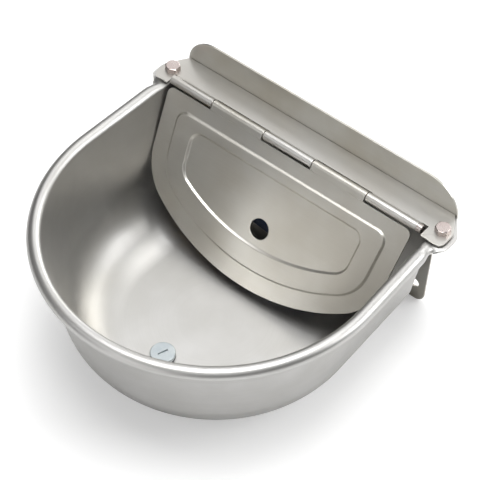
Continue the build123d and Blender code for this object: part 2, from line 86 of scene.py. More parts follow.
def round_marks(tree, centre):
    """Coordinates that are even all the way round an upright axis, so that lines run round it."""
    centred = add_node(tree, "ShaderNodeMapping", {"Location": -centre}, {
        "Vector": object_place(tree)})
    parts = add_node(tree, "ShaderNodeSeparateXYZ", links={0: centred.outputs[0]})
    flat = add_node(tree, "ShaderNodeCombineXYZ", links={
        0: parts.outputs[0], 1: parts.outputs[1]})
    away = add_node(tree, "ShaderNodeVectorMath", {"operation": "LENGTH"}, {0: flat.outputs[0]})
    # a little of x keeps the lines from closing on themselves exactly
    drift = add_node(tree, "ShaderNodeMath", {"operation": "MULTIPLY", 1: 0.03}, {
        0: parts.outputs[0]})
    return add_node(tree, "ShaderNodeCombineXYZ", links={
        0: away.outputs["Value"], 1: parts.outputs[2], 2: drift.outputs[0]}).outputs[0]


def per_metre(*widths):
    """How often a mark as wide as this, in millimetres along each axis, repeats in a metre."""
    return tuple(1 / (width * MM) for width in widths)


def coat(tree, settings, paint, rough, grain, relief):
    """Ends a material: the relief of its grain, the shader and the output."""
    bump = add_node(tree, "ShaderNodeBump", {"Strength": 1.0, "Distance": relief * MM}, {
        "Height": grain.outputs[0]})
    shader = add_node(tree, "ShaderNodeBsdfPrincipled", settings, {
        "Base Color": paint.outputs[2], "Roughness": rough.outputs[0],
        "Normal": bump.outputs[0]})
    add_node(tree, "ShaderNodeOutputMaterial", links={"Surface": shader.outputs[0]})


def worked_metal(name, colour, tint, roughness, spread, marks, relief, clouds, centre=None):
    """A bare metal with the lines that its making left, and clouds of another tint.

    marks: width of a line along each axis in mm; relief: its height in mm; clouds: their
    width in mm; spread: how far the roughness strays; centre: what the lines run round, or
    none for straight lines.
    """
    material, tree = new_material(name)
    place = object_place(tree)
    lines = add_node(tree, "ShaderNodeMapping", {"Scale": per_metre(*marks)}, {
        "Vector": place if centre is None else round_marks(tree, centre)})
    grain = add_node(tree, "ShaderNodeTexNoise", {"Scale": 1.0, "Detail": 3.0, "Roughness": 0.6},
                     {"Vector": lines.outputs[0]})
    haze = add_node(tree, "ShaderNodeTexNoise", {"Scale": per_metre(clouds)[0], "Detail": 3.0,
                                                 "Roughness": 0.5}, {"Vector": place})
    patch = add_node(tree, "ShaderNodeMapRange", {
        "From Min": 0.36, "From Max": 0.66, "To Min": 0.0, "To Max": 1.0}, {0: haze.outputs[0]})
    stain = add_node(tree, "ShaderNodeMath", {"operation": "MULTIPLY_ADD", 1: 0.25}, {
        0: grain.outputs[0], 2: patch.outputs[0]})
    paint = add_node(tree, "ShaderNodeMix", {"data_type": "RGBA", 6: colour, 7: tint}, {
        0: stain.outputs[0]})
    uneven = add_node(tree, "ShaderNodeMapRange", {
        "From Min": 0.3, "From Max": 0.7, "To Min": roughness - spread,
        "To Max": roughness + spread}, {0: grain.outputs[0]})
    cloudy = add_node(tree, "ShaderNodeMath", {"operation": "MULTIPLY_ADD", 1: spread}, {
        0: patch.outputs[0], 2: uneven.outputs[0]})
    coat(tree, {"Metallic": 1.0}, paint, cloudy, grain, relief)
    return material


def moulded(name, colour, tint, roughness, spread, grain, relief, ior):
    """A moulded plastic or rubber: a fine skin, and slow changes of shade under it.

    grain: width of the skin's grain in mm, and the shade changes 25 times as slowly; relief:
    its height in mm; spread: how far the roughness strays.
    """
    material, tree = new_material(name)
    place = object_place(tree)
    skin = add_node(tree, "ShaderNodeTexNoise", {
        "Scale": per_metre(grain)[0], "Detail": 2.0, "Roughness": 0.6}, {"Vector": place})
    flow = add_node(tree, "ShaderNodeTexNoise", {
        "Scale": per_metre(25 * grain)[0], "Detail": 2.0}, {"Vector": place})
    paint = add_node(tree, "ShaderNodeMix", {"data_type": "RGBA", 6: colour, 7: tint}, {
        0: flow.outputs[0]})
    uneven = add_node(tree, "ShaderNodeMapRange", {
        "From Min": 0.3, "From Max": 0.7, "To Min": roughness - spread,
        "To Max": roughness + spread}, {0: skin.outputs[0]})
    coat(tree, {"Metallic": 0.0, "IOR": ior}, paint, uneven, skin, relief)
    return material


def threaded_metal(name, *settings):
    """A bare metal whose part outside the valve's seat carries the bands of a pipe thread."""
    material = worked_metal(name, *settings)
    tree = material.node_tree
    place = object_place(tree)
    thread = add_node(tree, "ShaderNodeTexWave", {
        "wave_type": "BANDS", "bands_direction": "X", "wave_profile": "SIN",
        "Scale": pi / 10 / (THREAD_PITCH * MM)}, {"Vector": place})
    parts = add_node(tree, "ShaderNodeSeparateXYZ", links={0: place})
    outside = add_node(tree, "ShaderNodeMath", {"operation": "LESS_THAN", 1: LAND_X * MM}, {
        0: parts.outputs[0]})
    crests = add_node(tree, "ShaderNodeMath", {"operation": "MULTIPLY"}, {
        0: thread.outputs[1], 1: outside.outputs[0]})
    fine = next(n for n in tree.nodes if n.type == "BUMP")
    shader = next(n for n in tree.nodes if n.type == "BSDF_PRINCIPLED")
    cut_thread = add_node(tree, "ShaderNodeBump", {
        "Strength": 1.0, "Distance": THREAD_DEPTH * MM}, {
        "Height": crests.outputs[0], "Normal": fine.outputs[0]})
    tree.links.new(cut_thread.outputs[0], shader.inputs["Normal"])
    return material


# ---- measurements, in millimetres and degrees unless they say otherwise --------------------
# The bowl's own frame stands on the axis of its round front, level with the bead's middle.
ARC_REACH, RIM_HEIGHT = 113.9, 58.0
SHEET = 1.2
# the bowl: its rolled bead, the lean of its walls and sides, and its bends
BEAD_LINE, BEAD, CURL_END = 123.9, 5.18, -120.0
DRAFT, SIDE_DRAFT = radians(9.0), radians(2.5)
DEPTH, BOTTOM_RADIUS, CORNER_RADIUS, BEND = 98.0, 45.0, 10.0, 2.0
REAR_WALL, PLATE_FRONT = 103.0, 112.4
# along a side, the bead opens between the first two runs, and the side itself ends at the last
BEAD_RUN_END, BEAD_FADE_END, SIDE_RUN_END = 62.0, 81.0, 135
# the flat flange and its ears, from where they widen to the slope behind them
FLANGE_RISE = 2.2
EAR_START, EAR_START_HALF, EAR_FRONT = 71.5, 126.0, 84.0
EAR_HALF, EAR_SIDE_END, EAR_REAR_HALF = 132.39, 97.0, 121.0
# holes: where they are and their radii; the wall's four stand round the scene's origin
DRAIN_X, DRAIN_Y, DRAIN_HOLE = -7.0, -50.02, 5.27
BOLT_X, BOLT_Y, BOLT_HOLE = 121.5, 95.0, 3.3
VALVE_Y, VALVE_Z, VALVE_HOLE = 77.0, -40.0, 10.75
LAND_X, LAND_RADIUS = -108.03, 14.5
WALL_HOLE_X, WALL_HOLE_Z, WALL_HOLE = 92, 30, 4.25
# lengths of the cutters that go through a sheet, the valve's seat and the cover plate
THROUGH, THROUGH_SEAT, THROUGH_COVER = 8, 12, 6
# the wall plate: its thickness, half its width and its height at the top, waist and foot
UPRIGHT, UPRIGHT_HALF, UPRIGHT_TOP = 1.5, 121, 28.5
WAIST_HALF, WAIST, FOOT_HALF, FOOT = 107, 1.0, 101, -DEPTH - 6.5
# the cover plate and its hinge: its knuckles, the slot for them and the ends of their rolls
COVER_TOP = 5.0
HINGE_Y, HINGE_Z, KNUCKLE = 87.0, 5.0, 3.5
HINGE_LEFT, HINGE_RIGHT, PIN_HEAD = -114.5, 106.5, 4
KNUCKLE_GAP, COVER_KNUCKLE, MIDDLE = 0.75, 46.6, (-27.7, 15.5)
SLOT_GAP, SLOT_REAR, SLOT_FRONT = 1.4, 92.0, 82
PLATE_ROLL_END, COVER_ROLL_END = 314, 380
# the float cover: half its width, its length, its shoulders and where its flat part starts
COVER_X = (HINGE_LEFT + HINGE_RIGHT) / 2
SLOPE, COVER_DRAFT = radians(60), radians(4.9)
COVER_HALF, COVER_LENGTH = 109.5, 109.5
SHOULDER, SHOULDER_RADIUS, COVER_HEAD = 50, 46, 3.9
# its pressed steps: how far each is set in at the sides and at the top, and its corner
OUTER_STEP, BORDER, INNER_STEP = (15.0, 15.5, 8.0), (23.5, 20.0, 8.0), (32.0, 24.0, 8.0)
# its finger hole: how far down it is, and each ring's radius and depth
FINGER_HOLE = 63.5
FINGER_RINGS = ((9.5, 0), (8.35, 0), (7.95, 0.12), (7.75, 0.45))
# bolts: width across the flats, the head's height and its top's flat radius, the shank
HEXAGON, HEAD, HEAD_FLAT, SHANK, SHANK_LENGTH = 10, 4, 4.75, 3, 10.5
# drain plug: the gasket under it, its head, the head's rounded edge, its slot, its shank
GASKET, PLUG, PLUG_HEIGHT, PLUG_EDGE = 1.2, 9.25, 3.0, 0.75
PLUG_SLOT, PLUG_SHANK, PLUG_SHANK_LENGTH = (8, 1.3, 3.0), 5, 7.6
# the inlet's pipe thread, from crest to crest and in depth
THREAD_PITCH, THREAD_DEPTH = 1.814, 0.7
# how finely round shapes are divided, and in metres how near two places are to be one
BOWL_STEPS, CURL_STEPS, BEND_STEPS, FINE = 144, 26, 5, 96
SAME, MERGE = 1e-6, 0.01 * MM


def at(x, y, z):
    """A point of the bowl's own frame, in millimetres, as a place in the scene."""
    return Vector((x, y - ARC_REACH, z + RIM_HEIGHT)) * MM


# ---- finishes: what makes each one, its colour, its tint and the maker's other settings ------
FINISHES = {
    # Stainless 304 sheet, deep-drawn and then satin polished on a turning wheel: soft broad
    # reflections with faint lines round the bowl. The real lines are about 0.05 mm apart, too
    # fine to show, so they are drawn 1 mm wide.
    "deep-drawn satin stainless": (
        worked_metal, "bowl", "#c9c8c5", 0.39, 0.04, (1.0, 1.0, 4.0), 0.006, 45, at(0, 0, 0)),
    # Stainless 304 sheet, cold-rolled and pressed, its film peeled off: a little warmer and
    # glossier than the bowl, with hazy patches where the press rubbed it. Its rolling lines
    # run along the hinge and are drawn 1.2 mm wide so that they show.
    "pressed cold-rolled stainless": (
        worked_metal, "cover", "#c8c4bb", 0.34, 0.035, (55, 1.2, 1.2), 0.006, 60),
    # The same sheet, flat and laser cut, brushed along its length: straight lines from end
    # to end, drawn 1.2 mm wide so that they show, and a cooler, more even grey.
    "brushed stainless plate": (
        worked_metal, "plate", "#ccc9c3", 0.34, 0.04, (70, 1.2, 1.2), 0.006, 70),
    # Cold-rolled stainless with its mill finish: the upright reflects darker and clearer,
    # with cloudy rolling marks along it, drawn 1.6 mm wide so that they show.
    "mill-finish stainless plate": (
        worked_metal, "upright", "#c8c4ba", 0.34, 0.05, (80, 1.6, 1.6), 0.008, 50),
    # Cold-headed stainless fasteners: a smooth bright skin with a faint pink cast.
    "cold-headed stainless": (
        worked_metal, "fasteners", "#cdc0bc", 0.26, 0.04, (0.9, 0.9, 0.9), 0.004, 5),
    # Drawn stainless wire, cut and headed: lines along its length.
    "drawn stainless wire": (
        worked_metal, "fasteners", "#b5b3ae", 0.26, 0.04, (20, 0.5, 0.5), 0.004, 12),
    # Turned and passivated stainless plug: rings of the lathe tool round its head, 0.2 mm
    # apart on the real one and drawn 0.7 mm apart, and a pale blue cast.
    "turned passivated stainless": (
        worked_metal, "plug", "#b7bfc3", 0.40, 0.05, (0.7, 0.7, 4.0), 0.006, 8,
        at(DRAIN_X, DRAIN_Y, 0)),
    # Turned brass, left bare: yellow metal with fine tool lines across its axis, duller brown
    # patches, and the thread of the inlet.
    "turned brass": (
        threaded_metal, "brass", "#9c7a3f", 0.30, 0.06, (0.6, 9, 9), 0.005, 9),
    # Moulded EPDM rubber: near black, matt, with a dusty skin.
    "moulded EPDM rubber": (moulded, "rubber", "#2c2b2a", 0.72, 0.08, 0.5, 0.02, 1.52),
    # Injection moulded acetal: milky white with a soft gloss.
    "moulded acetal": (moulded, "seat", "#dcdbd4", 0.36, 0.06, 0.6, 0.006, 1.48),
    # Blow moulded polyethylene: waxy blue skin with a slight orange peel, drawn 1.5 mm wide.
    "blow-moulded polyethylene": (
        moulded, "float_skin", "#22395f", 0.42, 0.07, 1.5, 0.03, 1.51),
}


def finish(name):
    """The material of that name, made the first time that a piece asks for it."""
    made = bpy.data.materials.get(name)
    if made is None:
        maker, colour, tint, *settings = FINISHES[name]
        colours = bpy.context.scene.drinking_bowl_colours
        made = maker(name, getattr(colours, colour), linear(tint), *settings)
    return made


def dress(node, material):
    """Gives one of the construction's own nodes its finish."""
    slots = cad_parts[node].data.materials
    slots.clear()
    slots.append(material)


# ---- modelling ----------------------------------------------------------------------------
def deselect():
    """Lets go of every object."""
    bpy.ops.object.select_all(action="DESELECT")


def edit(obj):
    """Opens a piece in edit mode with nothing in it selected."""
    deselect()
    bpy.context.view_layer.objects.active = obj
    obj.select_set(True)
    bpy.ops.object.mode_set(mode="EDIT")
    bpy.ops.mesh.select_all(action="DESELECT")


def leave():
    """Goes back from edit mode."""
    bpy.ops.object.mode_set(mode="OBJECT")


def settled():
    """Applies the place, turn and size of the new primitive, and gives it."""
    bpy.ops.object.transform_apply(location=True, rotation=True, scale=True)
    return bpy.context.object


def on_all(operator, **settings):
    """Runs a mesh operator on all of the piece that is open in edit mode."""
    bpy.ops.mesh.select_all(action="SELECT")
    operator(**settings)


def pick(obj, kind, test):
    """Selects the vertices, edges or faces of the piece in edit mode that pass a test."""
    bpy.ops.mesh.select_mode(type={"verts": "VERT", "edges": "EDGE", "faces": "FACE"}[kind])
    bpy.ops.mesh.select_all(action="DESELECT")
    shape = bmesh.from_edit_mesh(obj.data)
    found = [item for item in getattr(shape, kind) if test(item)]
    if not found:
        raise RuntimeError("nothing to pick on " + obj.name)
    for item in found:
        item.select_set(True)
    shape.select_flush_mode()
    bmesh.update_edit_mesh(obj.data)


def draw_line(name, points):
    """Draws a line of edges from point to point, out of a small plane that is merged to a point.

    The line is left open in edit mode.
    """
    deselect()
    bpy.ops.mesh.primitive_plane_add(size=MM, location=points[0])
    line = settled()
    line.name = name
    bpy.ops.object.mode_set(mode="EDIT")
    bpy.ops.mesh.select_mode(type="VERT")
    on_all(bpy.ops.mesh.merge, type="CENTER")
    for start, end in zip(points, points[1:]):
        bpy.ops.mesh.extrude_vertices_move(TRANSFORM_OT_translate={"value": end - start})
    return line


def join(objects, name):
    """Joins objects into one with that name."""
    deselect()
    for obj in objects:
        obj.select_set(True)
    bpy.context.view_layer.objects.active = objects[0]
    bpy.ops.object.join()
    joined = bpy.context.object
    joined.name = name
    return joined


def apply_modifier(obj, kind, **settings):
    """Adds a modifier with its settings to a piece, and applies it."""
    deselect()
    bpy.context.view_layer.objects.active = obj
    obj.select_set(True)
    modifier = obj.modifiers.new(kind.lower(), kind)
    for name, value in settings.items():
        setattr(modifier, name, value)
    bpy.ops.object.modifier_apply(modifier=modifier.name)


def face(obj, polygon, way):
    """Turns a thin shell over when one of its faces looks away from where it should look."""
    if polygon.normal.dot(Vector(way)) < 0:
        edit(obj)
        on_all(bpy.ops.mesh.flip_normals)
        leave()


def finish_piece(obj, material, body, nodes, smooth=30):
    """Merges doubles, turns the faces outwards, smooths and ties the piece to the frame."""
    edit(obj)
    on_all(bpy.ops.mesh.remove_doubles, threshold=0.002 * MM)
    bpy.ops.mesh.normals_make_consistent(inside=False)
    leave()
    bpy.ops.object.shade_smooth_by_angle(angle=radians(smooth))
    # flat faces keep their own direction beside rounded ones
    apply_modifier(obj, "WEIGHTED_NORMAL", keep_sharp=True)
    obj.data.materials.clear()
    obj.data.materials.append(material)
    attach(obj, body)
    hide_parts(*nodes)


def arc(centre, radius, start, end, steps):
    """Points of an arc in a plane, from one angle to another, in degrees."""
    return [(centre[0] + radius * cos(radians(start + (end - start) * i / steps)),
             centre[1] + radius * sin(radians(start + (end - start) * i / steps)))
            for i in range(steps + 1)]


# ---- drawn bowl ---------------------------------------------------------------------------
RIM_WALL = BEAD_LINE - BEAD + SHEET / cos(DRAFT)
FOOT_Z = -DEPTH + BOTTOM_RADIUS
FOOT_R = RIM_WALL + FOOT_Z * tan(DRAFT) - BOTTOM_RADIUS / cos(DRAFT)
# heights where the wall's strip meets the rim's, and where the rim starts to curl or bend
SEAM_Z, BRIM_Z = -12.0, -0.45
# where the sections along a side stand, closer together where the bead opens
RUNS = [0, 20, 41] + [BEAD_RUN_END + 2.2 * i for i in range(11)]
# the right half of the flange's outer edge, from the ear's side to the rear
FLANGE_EDGE = [(EAR_HALF, EAR_SIDE_END - 2), (EAR_HALF - 1, EAR_SIDE_END + 1.8),
               (EAR_HALF - 3, EAR_SIDE_END + 4.6), (EAR_REAR_HALF, PLATE_FRONT)]
# the side wall round the valve's seat, as runs and heights
SEAT_RUNS, SEAT_HEIGHTS, SEAT_CUTTER = (60, 95), (-30, -60), 30


def on_wall(height):
    """A point of the wall's inner face, as (radius, height)."""
    return BEAD_LINE - BEAD + height * tan(DRAFT), height


def eased(share):
    """A share from 0 to 1 that starts and ends gently."""
    share = min(1.0, max(0.0, share))
    return share ** 2 * (3 - 2 * share)


def wall_profile():
    """The bowl's inner face from the floor's edge up to the brim, as (radius, height)."""
    points = arc((FOOT_R, FOOT_Z), BOTTOM_RADIUS - SHEET, -90, -degrees(DRAFT), 20)
    toe, seam = points[-1], on_wall(SEAM_Z)
    for i in range(1, 4):
        points.append((toe[0] + (seam[0] - toe[0]) * i / 3, toe[1] + (seam[1] - toe[1]) * i / 3))
    return points + [on_wall(BRIM_Z)]


def curl():
    """The rolled rim's face, from the wall round to its free edge."""
    return arc((BEAD_LINE, 0), BEAD, 180 - degrees(DRAFT), CURL_END, CURL_STEPS)


def on_side(side, run, radius, height):
    """A point of the section that stands at a run along one straight side."""
    along = run / cos(SIDE_DRAFT)
    x = radius * cos(SIDE_DRAFT) - along * sin(SIDE_DRAFT)
    y = radius * sin(SIDE_DRAFT) + along * cos(SIDE_DRAFT)
    return at(side * x, y, height)


def ear_edge(y):
    """How far the ear's edge stands from the middle at a place along the side."""
    share = eased((y - EAR_START) / (EAR_FRONT - EAR_START))
    return EAR_START_HALF + (EAR_HALF - EAR_START_HALF) * share


def rim_section(side, run):
    """The rim between the wall and its free edge, as it opens from a roll into the flat ear."""
    share = eased((run - BEAD_RUN_END) / (BEAD_FADE_END - BEAD_RUN_END))
    bend = arc((BEAD_LINE - BEAD + BEND, FLANGE_RISE - BEND), BEND, 171, 90, BEND_STEPS)
    bend = [on_side(side, run, *point) for point in bend]
    edge = side * ear_edge(bend[-1].y / MM + ARC_REACH) * MM
    points = [on_side(side, run, *on_wall(z)) for z in (SEAM_Z, BRIM_Z)]
    for i, (radius, height) in enumerate(curl()):
        if i <= BEND_STEPS:
            flat = bend[i]
        else:
            part = (i - BEND_STEPS) / (CURL_STEPS - BEND_STEPS)
            flat = Vector((bend[-1].x + (edge - bend[-1].x) * part,
                           bend[-1].y, (FLANGE_RISE + RIM_HEIGHT) * MM))
        points.append(on_side(side, run, radius, height).lerp(flat, share))
    return points


def drawn(name, points):
    """Draws a line and closes edit mode."""
    line = draw_line(name, points)
    leave()
    return line


def bridged(name, sections):
    """Draws lines with as many points each, and bridges each to the next."""
    obj = join([drawn(name, points) for points in sections], name)
    edit(obj)
    on_all(bpy.ops.mesh.bridge_edge_loops)
    leave()
    return obj


def draw_shell():
    """The inner face and the rim: a spun front and two sides, left open in edit mode."""
    front = draw_line("front", [on_side(1, 0, r, z) for r, z in wall_profile() + curl()[1:]])
    on_all(bpy.ops.mesh.spin, steps=BOWL_STEPS, angle=pi + 2 * SIDE_DRAFT, center=at(0, 0, 0),
           axis=(0, 0, 1))
    leave()
    parts = [front]
    for side in (-1, 1):
        parts.append(bridged("wall", [
            [on_side(side, run, r, z) for r, z in wall_profile()[:-1]]
            for run in RUNS + [SIDE_RUN_END]]))
        parts.append(bridged("rim", [rim_section(side, run) for run in RUNS]))
        parts.append(bridged("rear", [
            [on_side(side, run, *on_wall(z)) for z in (SEAM_Z, BRIM_Z, FLANGE_RISE)]
            for run in (RUNS[-1], SIDE_RUN_END)]))
    shell = join(parts, "drawn_bowl")
    edit(shell)
    on_all(bpy.ops.mesh.remove_doubles, threshold=MERGE)
    return shell


def close_floor_and_rear(bowl):
    """Fills the floor, cuts the shell along the leaning rear wall, fills that and rounds it."""
    floor_z = (FOOT_Z - BOTTOM_RADIUS + SHEET + RIM_HEIGHT) * MM
    pick(bowl, "verts", lambda v: abs(v.co.z - floor_z) < SAME)
    bpy.ops.mesh.edge_face_add()
    plane = at(0, REAR_WALL - SHEET / cos(DRAFT), 0)
    normal = Vector((0, cos(DRAFT), -sin(DRAFT)))
    on_all(bpy.ops.mesh.bisect, plane_co=plane, plane_no=normal, clear_outer=True)
    on_all(bpy.ops.mesh.remove_doubles, threshold=MERGE)

    def on_rear(item):
        """Whether an edge or a face lies in the rear wall."""
        return all(abs((v.co - plane).dot(normal)) < SAME for v in item.verts)

    top = (FLANGE_RISE + RIM_HEIGHT) * MM
    pick(bowl, "verts", lambda v: abs((v.co - plane).dot(normal)) < SAME
         and abs(v.co.z - top) < SAME)
    bpy.ops.mesh.edge_face_add()
    pick(bowl, "edges", lambda e: len(e.link_faces) < 2 and on_rear(e))
    bpy.ops.mesh.edge_face_add()
    on_all(bpy.ops.mesh.normals_make_consistent, inside=False)
    pick(bowl, "edges", lambda e: len(e.link_faces) == 2 and on_rear(e))
    bpy.ops.mesh.bevel(offset=(CORNER_RADIUS - SHEET) * MM, segments=8, affect="EDGES",
                       clamp_overlap=False)
    # the rear wall is divided, so that it stays whole when it gets its thickness
    pick(bowl, "faces", on_rear)
    bpy.ops.mesh.quads_convert_to_tris(quad_method="BEAUTY", ngon_method="CLIP")


def add_flange(bowl):
    """Closes the end of each bend, and fills the flat flange from ear to ear."""
    left, right = (rim_section(side, RUNS[-1]) for side in (-1, 1))
    corners = [on_side(side, RUNS[-1], *on_wall(FLANGE_RISE)) for side in (-1, 1)]
    for ear, corner in zip((left, right), corners):
        ends = ear[1:BEND_STEPS + 3] + [corner]
        near = KDTree(len(ends))
        for i, point in enumerate(ends):
            near.insert(point, i)
        near.balance()
        pick(bowl, "verts", lambda v: near.find(v.co)[2] < 0.005 * MM)
        bpy.ops.mesh.edge_face_add()
    leave()
    edge = [right[-1]] + [at(x, y, FLANGE_RISE) for x, y in FLANGE_EDGE]
    edge += [at(-x, y, FLANGE_RISE) for x, y in reversed(FLANGE_EDGE)] + [left[-1]]
    bowl = join([bowl, drawn("flange", edge)], "drawn_bowl")
    edit(bowl)
    on_all(bpy.ops.mesh.remove_doubles, threshold=MERGE)
    level = (FLANGE_RISE + RIM_HEIGHT) * MM
    start = min(point.y for point in right[BEND_STEPS + 2:] + corners) - MERGE
    pick(bowl, "edges", lambda e: len(e.link_faces) < 2 and all(
        abs(v.co.z - level) < 0.05 * MM and v.co.y > start for v in e.verts))
    bpy.ops.mesh.edge_face_add()
    on_all(bpy.ops.mesh.normals_make_consistent, inside=False)
    leave()
    return bowl


def press_valve_seat(bowl):
    """Presses the round flat seat for the valve into the left wall."""
    def in_wall(run, height):
        """A point of the side wall, halfway through its sheet."""
        radius = BEAD_LINE - BEAD + 0.5 * SHEET / cos(DRAFT) + height * tan(DRAFT)
        return on_side(-1, run, radius, height)

    def press(radius, face_x):
        """A bar that stands out of the wall from the seat's inner or outer face."""
        return rod(radius, SEAT_CUTTER, at(face_x - SEAT_CUTTER / 2, VALVE_Y, VALVE_Z),
                   (1, 0, 0), FINE)

    corner = in_wall(SEAT_RUNS[0], SEAT_HEIGHTS[0])
    along = in_wall(SEAT_RUNS[1], SEAT_HEIGHTS[0]) - corner
    down = in_wall(SEAT_RUNS[0], SEAT_HEIGHTS[1]) - corner
    normal = along.cross(down).normalized()
    if normal.x > 0:
        normal = -normal
    cup = press(LAND_RADIUS + SHEET, LAND_X + SHEET)
    edit(cup)
    on_all(bpy.ops.mesh.bisect, plane_co=corner, plane_no=normal, clear_outer=True,
           use_fill=True)
    leave()
    cut(bowl, [cup], "UNION", "MANIFOLD")
    cut(bowl, [press(LAND_RADIUS, LAND_X)], solver="MANIFOLD")


def make_bowl():
    """The drawn bowl: its shell, floor, rear wall and flange, then its thickness and holes."""
    bowl = draw_shell()
    close_floor_and_rear(bowl)
    bowl = add_flange(bowl)
    # the faces look into the bowl, so that the sheet's thickness lies outside
    face(bowl, min(bowl.data.polygons, key=lambda p: p.center.z), (0, 0, 1))
    apply_modifier(bowl, "SOLIDIFY", thickness=SHEET * MM, offset=-1)
    press_valve_seat(bowl)
    holes = [rod(VALVE_HOLE, THROUGH_SEAT, at(LAND_X, VALVE_Y, VALVE_Z), (1, 0, 0)),
             rod(DRAIN_HOLE, THROUGH, at(DRAIN_X, DRAIN_Y, -DEPTH), (0, 0, 1))]
    holes += [rod(BOLT_HOLE, THROUGH, at(x, BOLT_Y, FLANGE_RISE), (0, 0, 1))
              for x in (-BOLT_X, BOLT_X)]
    cut(bowl, holes, solver="MANIFOLD")
    finish_piece(bowl, finish("deep-drawn satin stainless"), "bowl", ["bowl_shell"],
                 smooth=35)


# ---- flat outlines ------------------------------------------------------------------------
def mirrored(corners):
    """The corners of a right half, and then the same ones on the left."""
    return corners + [(-x, y, radius) for x, y, radius in reversed(corners)]


def rounded(corners, steps=6):
    """Points of a closed outline whose corners are (x, y, radius), from the first one on."""
    points = []
    for i, (x, y, radius) in enumerate(corners):
        here = Vector((x, y))
        before = (Vector(corners[i - 1][:2]) - here).normalized()
        after = (Vector(corners[(i + 1) % len(corners)][:2]) - here).normalized()
        if not radius:
            points.append((x, y))
            continue
        half = before.angle(after) / 2
        centre = here + (before + after).normalized() * radius / sin(half)
        first = here + before * radius / tan(half)
        last = here + after * radius / tan(half)
        a = atan2(first.y - centre.y, first.x - centre.x)
        turn = atan2(last.y - centre.y, last.x - centre.x) - a
        turn = (turn + pi) % (2 * pi) - pi
        for j in range(steps + 1):
            angle = a + turn * j / steps
            points.append((centre.x + radius * cos(angle), centre.y + radius * sin(angle)))
    return points


def slab(name, outline, place, thickness):
    """A flat plate: its outline is drawn at its place, filled, and extruded by its thickness."""
    plate = draw_line(name, [place(x, y) for x, y in outline])
    on_all(bpy.ops.mesh.edge_face_add)
    bpy.ops.mesh.extrude_region_move(TRANSFORM_OT_translate={"value": thickness})
    on_all(bpy.ops.mesh.normals_make_consistent, inside=False)
    leave()
    return plate


def cut(obj, cutters, operation="DIFFERENCE", solver="EXACT"):
    """Cuts a closed piece with others, which are used up."""
    for cutter in cutters:
        apply_modifier(obj, "BOOLEAN", operation=operation, solver=solver, object=cutter)
        bpy.data.objects.remove(cutter)


def rod(radius, length, centre, axis, sides=48):
    """A plain round bar, as a cutter or as a start."""
    deselect()
    turn = Vector(axis).to_track_quat("Z", "Y").to_euler()
    bpy.ops.mesh.primitive_cylinder_add(vertices=sides, radius=radius * MM, depth=length * MM,
                                        location=centre, rotation=turn)
    return settled()


def soften(obj, width, angle=35, segments=2):
    """Breaks the sharp edges, as a deburred sheet's are."""
    apply_modifier(obj, "BEVEL", width=width * MM, segments=segments, limit_method="ANGLE",
                   angle_limit=radians(angle))


# ---- wall plate ---------------------------------------------------------------------------
def make_wall_plate():
    """The upright: wide above the ears, narrower below them, with four holes for screws."""
    outline = rounded(mirrored([
        (UPRIGHT_HALF, UPRIGHT_TOP, 26), (UPRIGHT_HALF, WAIST, 0), (WAIST_HALF, WAIST, 0),
        (FOOT_HALF, FOOT, 8)]), 14)
    plate = slab("wall_plate", outline, lambda x, z: at(x, PLATE_FRONT, z),
                 (0, UPRIGHT * MM, 0))
    cut(plate, [rod(WALL_HOLE, THROUGH, Vector((x * MM, -UPRIGHT / 2 * MM, z * MM)), (0, 1, 0))
                for x in (-WALL_HOLE_X, WALL_HOLE_X) for z in (-WALL_HOLE_Z, WALL_HOLE_Z)])
    soften(plate, bpy.context.scene.drinking_bowl_sizes.edge_break / MM)
    finish_piece(plate, finish("mill-finish stainless plate"), "bowl", ["back_plate"])


# ---- hinge --------------------------------------------------------------------------------
COVER_KNUCKLES = [(MIDDLE[0] - KNUCKLE_GAP - COVER_KNUCKLE, MIDDLE[0] - KNUCKLE_GAP),
                  (MIDDLE[1] + KNUCKLE_GAP, MIDDLE[1] + KNUCKLE_GAP + COVER_KNUCKLE)]
PLATE_KNUCKLES = [(HINGE_LEFT, COVER_KNUCKLES[0][0] - KNUCKLE_GAP), MIDDLE,
                  (COVER_KNUCKLES[1][1] + KNUCKLE_GAP, HINGE_RIGHT)]


def rolled(level, tail, curl_end, steps=28):
    """Section of a sheet that is rolled round the pin: along the sheet, and off it."""
    bore = KNUCKLE - SHEET
    outside = arc((0, 0), KNUCKLE, degrees(asin(level / KNUCKLE)), curl_end, steps)
    inside = arc((0, 0), bore, curl_end, degrees(asin((level - SHEET) / bore)), steps)
    return outside + inside + [(tail, level - SHEET), (tail, level)]


def add_knuckles(sheet, name, section, place, spans):
    """Rolls a sheet's knuckles, each over its span along the pin, and joins them to the sheet."""
    rolls = [sheet]
    for start, end in spans:
        rolls.append(slab(name, section, lambda a, b: place(start, a, b),
                          ((end - start) * MM, 0, 0)))
        soften(rolls[-1], 0.18, 60)
    return join(rolls, sheet.name)


